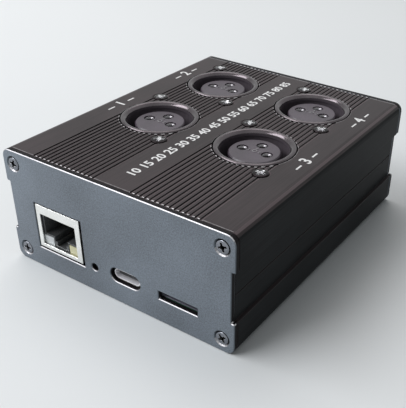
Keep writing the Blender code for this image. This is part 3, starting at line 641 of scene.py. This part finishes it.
soften("front_plate", 0.2 * MM, finish=2)
soften("rear_plate", 0.2 * MM, finish=2)
soften("top_shell", 0.07 * MM)
soften("bottom_shell", 0.07 * MM)
soften("jack_shield", 0.1 * MM, segments=2)


# Screws


def cross_recess(width, span, tree):
    """The cutter for a cross-shaped driver recess, wider at the top, with its middle opened out."""
    depth, narrowed, widened = 1.1 * MM, 0.55, 1.45
    half, arm, waist = width / 2, span / 2, 0.95 * width
    quarter = [(arm, -half), (arm, half), (waist, half), (half, waist)]
    outline = []
    for turn in range(4):
        c, s = math.cos(math.pi / 2 * turn), math.sin(math.pi / 2 * turn)
        outline += [(x * c - y * s, x * s + y * c) for x, y in quarter]
    bm = bmesh.new()
    bottom, top = (
        [bm.verts.new((x * scale, y * scale, z)) for x, y in outline]
        for scale, z in ((narrowed, -depth), (widened, depth))
    )
    bm.faces.new(bottom)
    bm.faces.new(top)
    for i in range(len(outline)):
        j = (i + 1) % len(outline)
        bm.faces.new((bottom[i], bottom[j], top[j], top[i]))
    mesh = closed_mesh(bm, "recess")
    mesh.materials.append(tree.material)
    return mesh


def screw_mesh(head, length, tree, recess):
    """A countersunk screw with its face at z = 0 and its shank down -Z, cut by the recess mesh."""
    shank, rim = 1.1 * MM, 0.2 * MM
    profile = [
        (0, 0),
        (head - 0.26 * MM, 0),
        (head - 0.12 * MM, -0.04 * MM),
        (head - 0.03 * MM, -0.12 * MM),
        (head, -rim),
        (shank, shank - head - rim),
        (shank, -length + 0.2 * MM),
        (shank - 0.2 * MM, -length),
        (0, -length),
    ]
    mesh = turned(profile, 48)
    mesh.materials.append(tree.material)
    body, cutter = new_object("body", mesh), new_object("cutter", recess)
    cut = body.modifiers.new("recess", "BOOLEAN")
    cut.object = cutter
    cut.solver = "EXACT"
    cut.material_mode = "TRANSFER"
    made = final_mesh(body)
    bpy.data.objects.remove(body)
    bpy.data.objects.remove(cutter)
    smooth_shade(made, sharp_from=30)
    return made


def place_screw(node, mesh, turn):
    """Stands a screw in for the CAD node, with its head's face on the node's outer end."""
    low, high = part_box(node)
    place = middle_of(node)
    if "front_plate" in node:
        place.y, tilt = low.y, Matrix.Rotation(math.pi / 2, 4, "X")
    elif "rear_plate" in node:
        place.y, tilt = high.y, Matrix.Rotation(-math.pi / 2, 4, "X")
    else:
        place.z, tilt = high.z, Matrix.Identity(4)
    piece = new_object(f"{node}_fine", mesh)
    spin = Matrix.Rotation(math.radians(turn), 4, "Z")
    piece.matrix_world = Matrix.Translation(place) @ tilt @ spin
    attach(piece, BODY)
    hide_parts(node)


def fine_screws():
    plate_recess = cross_recess(0.62 * MM, 2.5 * MM, shaded_recess)
    socket_recess = cross_recess(0.8 * MM, 2.9 * MM, glinting_recess)
    plate_screw = screw_mesh(1.85 * MM, 9 * MM, plate_screw_metal, plate_recess)
    socket_screw = screw_mesh(2.2 * MM, 6.5 * MM, black_zinc, socket_recess)
    for i, name in enumerate(sorted(name for name in NODES if "screw" in name)):
        mesh = plate_screw if "plate" in name else socket_screw
        place_screw(name, mesh, turn=(i * 37) % 90)  # no two neighbours stand alike


fine_screws()


# Barrels, contacts and the marks moulded on the inserts

BORE, BARREL = 9.7 * MM, 11.55 * MM  # radii of the barrel's inside and outside
LIP_DEPTH = 1.8 * MM  # the fine lip goes this far down the barrel
LIP_CUT = 0.25 * MM  # how far the housing under it is cut back
WALL_KEPT = 0.7  # the share of the housing's wall that is left there


def lip_profile():
    """The lip's cross-section: a 45 degree lead-in with both its corners soft, and a round rim."""
    top = cad_high.z
    lead_in, soft, rim = 0.75 * MM, 0.7 * MM, 0.5 * MM
    reach = lead_in + soft * math.tan(math.radians(22.5))
    return [
        (BORE, top - LIP_DEPTH),
        *arc((BORE + soft, top - reach), soft, 180, 135, 5),
        *arc((BORE + reach, top - soft), soft, 135, 90, 5),
        *arc((BARREL - rim, top - rim), rim, 90, 0, 6),
        (BARREL, top - LIP_DEPTH),
    ]


def cut_back(vertex, axis):
    """Thins and lowers the top of the housing's barrel, so that it stays inside the lip."""
    if vertex.co.z <= cad_high.z - LIP_DEPTH:
        return
    aside = Vector((vertex.co.x - axis.x, vertex.co.y - axis.y, 0))
    wall = aside.normalized() * (BORE + BARREL) / 2
    vertex.co.x = axis.x + wall.x + (aside.x - wall.x) * WALL_KEPT
    vertex.co.y = axis.y + wall.y + (aside.y - wall.y) * WALL_KEPT
    vertex.co.z -= LIP_CUT


def fine_barrels():
    """A finely rounded lip on each barrel, over a copy of the CAD housing cut back under it."""
    lip = lip_profile()
    for socket in SOCKETS:
        axis = middle_of(f"{socket}_insert")
        node = f"{socket}_housing"
        housing = new_object(f"{node}_fine", NODES[node].data.copy())
        for vertex in housing.data.vertices:
            cut_back(vertex, axis)
        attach(housing, BODY)
        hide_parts(node)
        mesh = turned(lip, 96, ring=True)
        smooth_shade(mesh, sharp_from=40)
        piece = add_piece(f"{socket}_lip", mesh, barrel_finish, (axis.x, axis.y, 0))


fine_barrels()


def contact_profile(top, bottom):
    """A sleeve with a funnel-shaped mouth, and its thinner tail below."""
    outer, bore, tail = 1.4 * MM, 0.98 * MM, 0.5 * MM
    floor, shoulder = top - 11 * MM, top - 14 * MM
    return [
        (0, floor),
        (bore, floor),
        (bore, top - 0.45 * MM),
        (bore + 0.03 * MM, top - 0.38 * MM),
        (outer - 0.05 * MM, top - 0.03 * MM),
        (outer - 0.02 * MM, top),
        (outer, top - 0.04 * MM),
        (outer, shoulder),
        (tail, shoulder),
        (tail, bottom),
        (0, bottom),
    ]


def fine_contacts():
    """Sleeves with a funnel-shaped mouth in place of the plain CAD sleeves."""
    for name in sorted(n for n in NODES if "_contact_" in n):
        low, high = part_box(name)
        middle = middle_of(name)
        mesh = turned(contact_profile(high.z - middle.z, low.z - middle.z), 32)
        smooth_shade(mesh, sharp_from=40)
        piece = add_piece(f"{name}_fine", mesh, shaded_silver, middle)
        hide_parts(name)


fine_contacts()

MARK_RISE = 0.12 * MM  # how far the marks stand proud of the insert
MARK_FROM_AXIS, MARK_SHIFT = 1.75 * MM, -0.2 * MM
MARK_SIZE = 1.5 * MM


def insert_marks():
    """The contact numbers and the gate mark that stand a little proud of each insert."""
    outer, inner, edge = 0.75 * MM, 0.45 * MM, 0.04 * MM
    gate = [
        (inner, 0),
        (outer, 0),
        (outer, MARK_RISE - edge),
        (outer - edge, MARK_RISE),
        (inner + edge, MARK_RISE),
        (inner, MARK_RISE - edge),
    ]
    for socket in SOCKETS:
        insert = f"{socket}_insert"
        face = middle_of(insert)
        face.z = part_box(insert)[1].z
        for number in (1, 2, 3):
            out = middle_of(f"{socket}_contact_{number}") - face
            out.z = 0
            aside = out.normalized() * MARK_FROM_AXIS + Vector((0, MARK_SHIFT, MARK_RISE / 2))
            mesh = lettering(str(number), MARK_SIZE, MARK_RISE)
            piece = add_piece(f"{socket}_mark_{number}", mesh, highlit_mark_finish, face + aside)
        mesh = turned(gate, 28, ring=True)
        piece = add_piece(f"{socket}_gate_mark", mesh, highlit_mark_finish, face)


insert_marks()


# Floor, light and camera


def add_floor():
    tree = Tree("floor")
    tint = tree.spread(tree.noise(3, 3), 0.3, 0.7)
    pale = tree.blend(tint, (0.76, 0.785, 0.785), (0.79, 0.81, 0.81))
    tree.set(Base_Color=pale, Roughness=0.6)
    side = 3.0
    corners = [(-side, -side, 0), (side, -side, 0), (side, side, 0), (-side, side, 0)]
    mesh = bpy.data.meshes.new("floor")
    mesh.from_pydata(corners, [], [(0, 1, 2, 3)])
    mesh.materials.append(tree.material)
    floor = new_object("floor", mesh)


def add_world():
    """A weak even light, behind which the camera, gloss and glass see a pale background."""
    world = bpy.data.worlds.new("studio")
    bpy.context.scene.world = world
    world.use_nodes = True
    nodes, links = world.node_tree.nodes, world.node_tree.links
    lit = nodes["Background"]
    lit.inputs["Color"].default_value = (0.93, 0.97, 1.0, 1)
    lit.inputs["Strength"].default_value = 0.22
    seen = nodes.new("ShaderNodeBackground")
    seen.inputs["Color"].default_value = (0.80, 0.83, 0.83, 1)
    path = nodes.new("ShaderNodeLightPath")
    either = path.outputs["Is Camera Ray"]
    for kind in ("Is Glossy Ray", "Is Transmission Ray"):
        larger = nodes.new("ShaderNodeMath")
        larger.operation = "MAXIMUM"
        links.new(either, larger.inputs[0])
        links.new(path.outputs[kind], larger.inputs[1])
        either = larger.outputs["Value"]
    mix = nodes.new("ShaderNodeMixShader")
    links.new(either, mix.inputs["Fac"])
    links.new(lit.outputs["Background"], mix.inputs[1])
    links.new(seen.outputs["Background"], mix.inputs[2])
    links.new(mix.outputs["Shader"], nodes["World Output"].inputs["Surface"])


def from_azimuth(azimuth, elevation):
    """The direction away from the object, where azimuth 0 is in front and 90 on the right."""
    a, e = math.radians(azimuth), math.radians(elevation)
    return Vector((math.sin(a) * math.cos(e), -math.cos(a) * math.cos(e), math.sin(e)))


LIT_POINT = Vector((0, 0, 20 * MM))


def add_lamp(name, direction, distance, size, power, colour):
    """A rectangular area lamp that faces the object from a direction."""
    data = bpy.data.lights.new(name, "AREA")
    data.shape = "RECTANGLE"
    data.size, data.size_y = size
    data.energy = power
    data.color = colour
    lamp = new_object(name, data)
    lamp.rotation_mode = "QUATERNION"
    lamp.rotation_quaternion = direction.to_track_quat("Z", "Y")
    lamp.location = LIT_POINT + direction * distance


CAMERA_AZIMUTH, CAMERA_ELEVATION, CAMERA_ROLL = 32.117, 32.425, 1.804
CAMERA_PLACE = (36.048 * MM, 21.015 * MM, 188.080 * MM)  # right, up and back in its own axes
FOCAL_PIXELS, CENTRE_X, CENTRE_Y = 696.45, 251.24, 223.02
IMAGE_WIDTH, IMAGE_HEIGHT = 406, 408


def add_camera():
    """The camera that fits the photograph, from the places of the object's corners and holes."""
    azimuth, roll = math.radians(CAMERA_AZIMUTH), math.radians(CAMERA_ROLL)
    back = from_azimuth(CAMERA_AZIMUTH, CAMERA_ELEVATION)
    level = Vector((math.cos(azimuth), math.sin(azimuth), 0))
    upright = back.cross(level)
    right = level * math.cos(roll) + upright * math.sin(roll)
    up = upright * math.cos(roll) - level * math.sin(roll)
    place = right * CAMERA_PLACE[0] + up * CAMERA_PLACE[1] + back * CAMERA_PLACE[2]
    data = bpy.data.cameras.new("camera")
    data.sensor_width = 36
    data.lens = FOCAL_PIXELS / IMAGE_HEIGHT * data.sensor_width  # the sensor fits the longer side
    data.shift_x = (IMAGE_WIDTH / 2 - CENTRE_X) / IMAGE_HEIGHT
    data.shift_y = (CENTRE_Y - IMAGE_HEIGHT / 2) / IMAGE_HEIGHT
    data.clip_start, data.clip_end = 0.01, 20
    camera = new_object("camera", data)
    turn = Matrix((right, up, back)).transposed().to_4x4()
    camera.matrix_world = Matrix.Translation(place + Vector((0, FRONT_Y, 0))) @ turn
    bpy.context.scene.camera = camera


add_floor()
add_world()
add_lamp(
    "key",
    from_azimuth(-50, 44),
    distance=1.1,
    size=(1.0, 0.38),
    power=9.4,
    colour=(0.96, 0.97, 1.0),
)
add_lamp(
    "overhead",
    from_azimuth(-130, 60),
    distance=0.9,
    size=(0.8, 0.6),
    power=3.2,
    colour=(1.0, 0.97, 0.97),
)
add_camera()
bpy.context.scene.view_settings.view_transform = "Standard"
